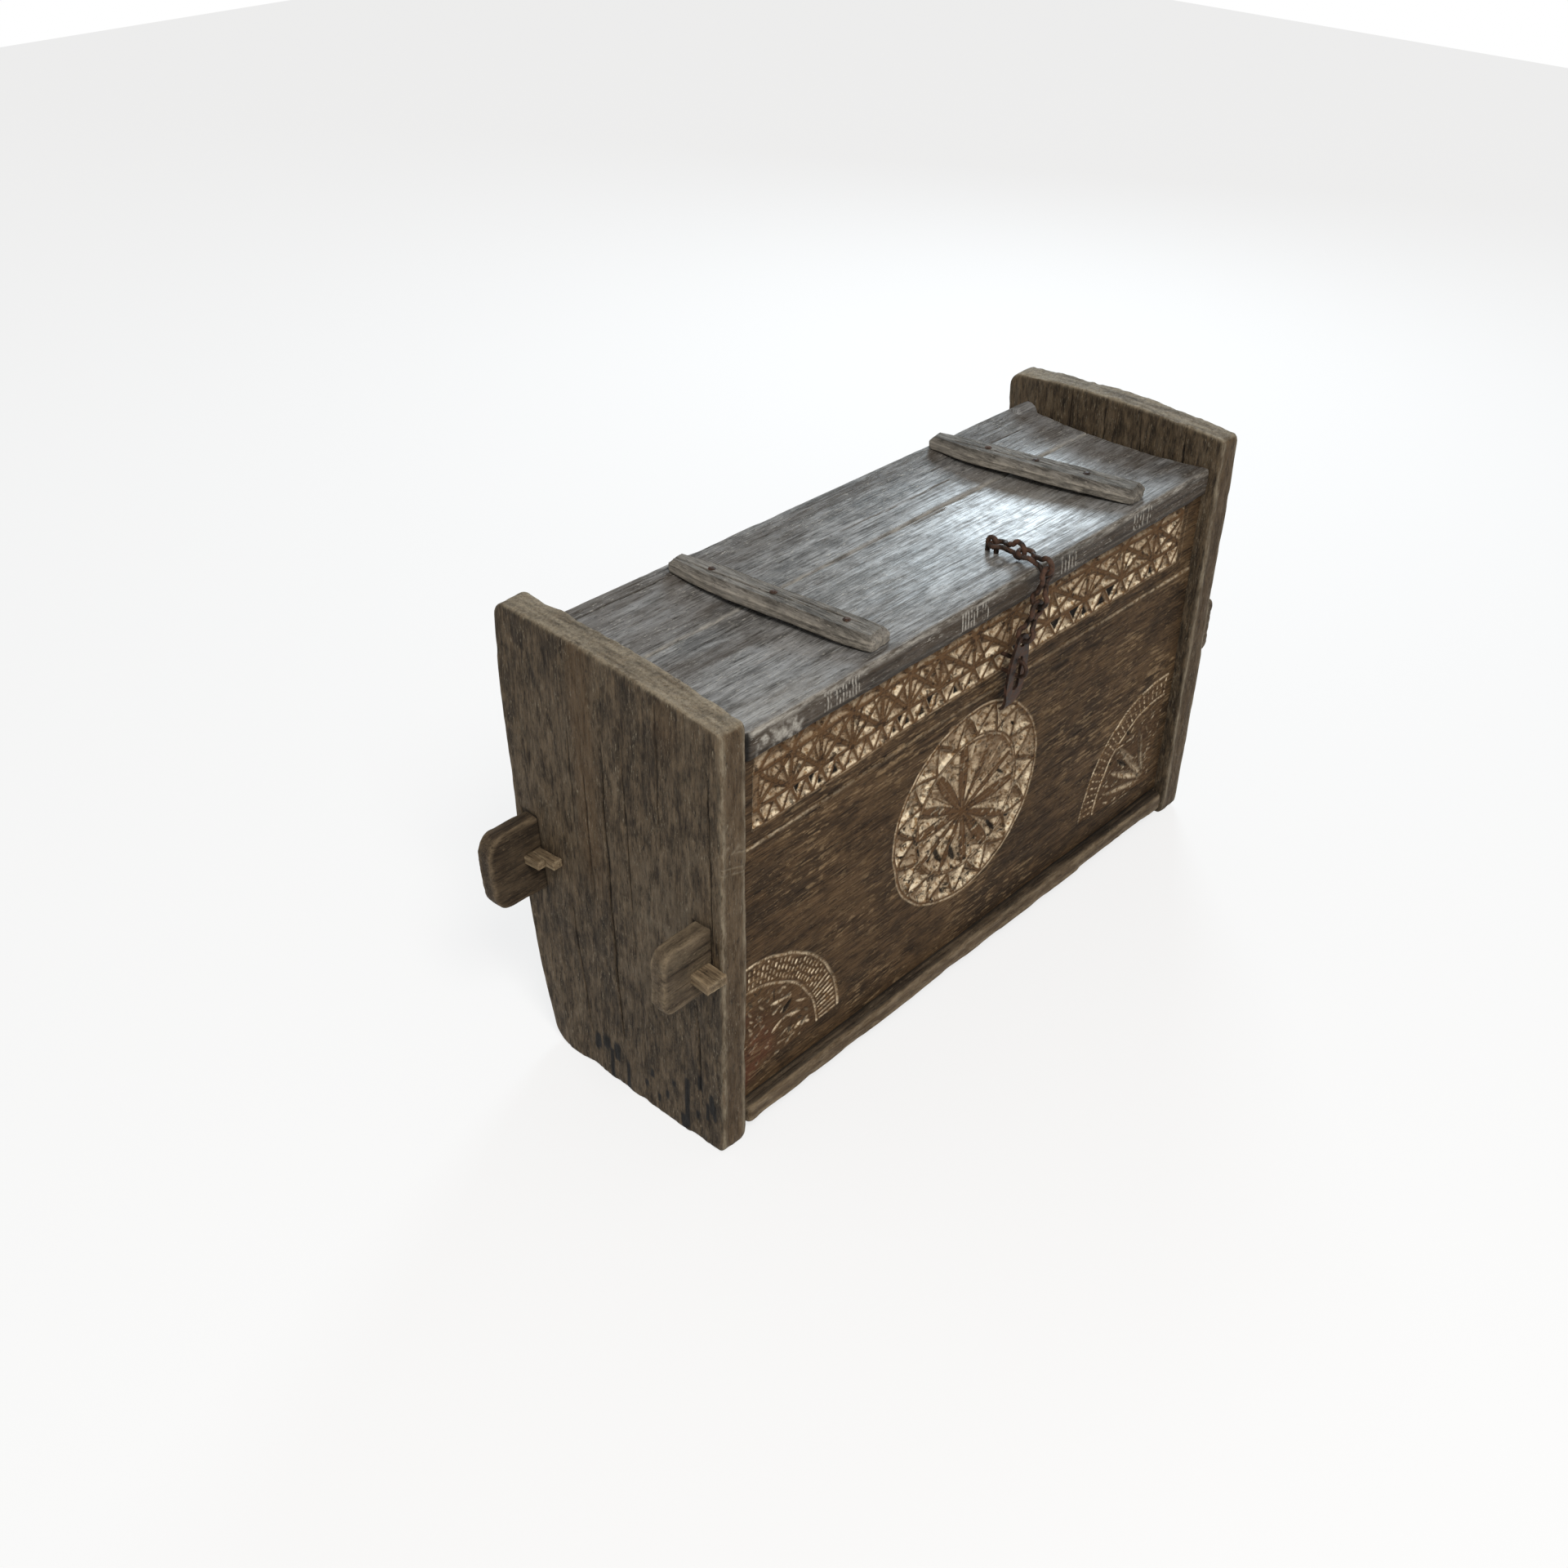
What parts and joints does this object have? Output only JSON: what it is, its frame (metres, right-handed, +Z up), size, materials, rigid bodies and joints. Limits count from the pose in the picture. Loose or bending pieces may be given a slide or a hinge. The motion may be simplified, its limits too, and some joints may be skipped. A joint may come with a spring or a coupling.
{
  "type": "storage chest",
  "caption": "Plank chest on board ends with wedged through tenons, chip-carved front, lid turning on wooden pintles, and a chain with a hasp that drops over a front staple.",
  "frame": {"origin": "on the floor, under the middle of the whole chest's bounding box", "axes": "+X along the chest to the viewer's right when facing the carved front, +Y from front to back, +Z up"},
  "size_m": [1.145, 0.3786, 0.635],
  "materials": {
    "end_wood": "old brown-grey planks, dry and stained, edges worn round",
    "panel_wood": "dark oiled softwood, chip-carved, pale on the raised edges",
    "rail_wood": "dark worn plank with a scuffed front edge",
    "inner_wood": "plain sawn plank, dry",
    "lid_wood": "weathered grey plank with long drying cracks",
    "batten_wood": "weathered batten, bevelled and worn",
    "wedge_wood": "pale split wood",
    "iron": "hand-forged iron, dark with brown rust"
  },
  "bodies": {
    "carcass": {"left_end_board": "end_wood", "right_end_board": "end_wood", "front_board": "panel_wood", "back_board": "inner_wood", "floor_front_board": "rail_wood", "floor_back_board": "inner_wood", "left_front_wedge": "wedge_wood", "left_back_wedge": "wedge_wood", "left_back_shim": "wedge_wood", "right_front_wedge": "wedge_wood", "right_back_wedge": "wedge_wood", "front_staple": "iron"},
    "lid": {"lid_front_board": "lid_wood", "lid_back_board": "lid_wood", "left_batten": "batten_wood", "right_batten": "batten_wood", "left_batten_nails": "iron", "right_batten_nails": "iron", "lid_staple": "iron"},
    "chain_upper": {"chain_link_1": "iron", "chain_link_2": "iron"},
    "chain_lower": {"chain_link_3": "iron", "chain_link_4": "iron"},
    "hasp": {"hasp": "iron"}
  },
  "joints": [
    {"name": "lid_hinge", "type": "hinge", "parent": "carcass", "child": "lid", "pos_m": [0.0125, 0.15066, 0.574], "axis": [-1, 0, 0], "range_deg": [0, 100]},
    {"name": "chain_upper_swing", "type": "hinge", "parent": "lid", "child": "chain_upper", "pos_m": [0.07837, -0.08589, 0.5911], "axis": [-0.9962, 0.0872, 0], "range_deg": [0, 152]},
    {"name": "chain_lower_swing", "type": "hinge", "parent": "chain_upper", "child": "chain_lower", "pos_m": [0.0705, -0.17584, 0.59269], "axis": [-1, 0, 0], "range_deg": [0, 95]},
    {"name": "hasp_swing", "type": "hinge", "parent": "chain_lower", "child": "hasp", "pos_m": [0.03278, -0.17584, 0.51135], "axis": [-1, 0, 0], "range_deg": [0, 25]}
  ],
  "couplings": [
    {"joint": "chain_upper_swing", "follows": "lid_hinge", "ratio": 1.52},
    {"joint": "chain_lower_swing", "follows": "lid_hinge", "ratio": 0.95}
  ]
}
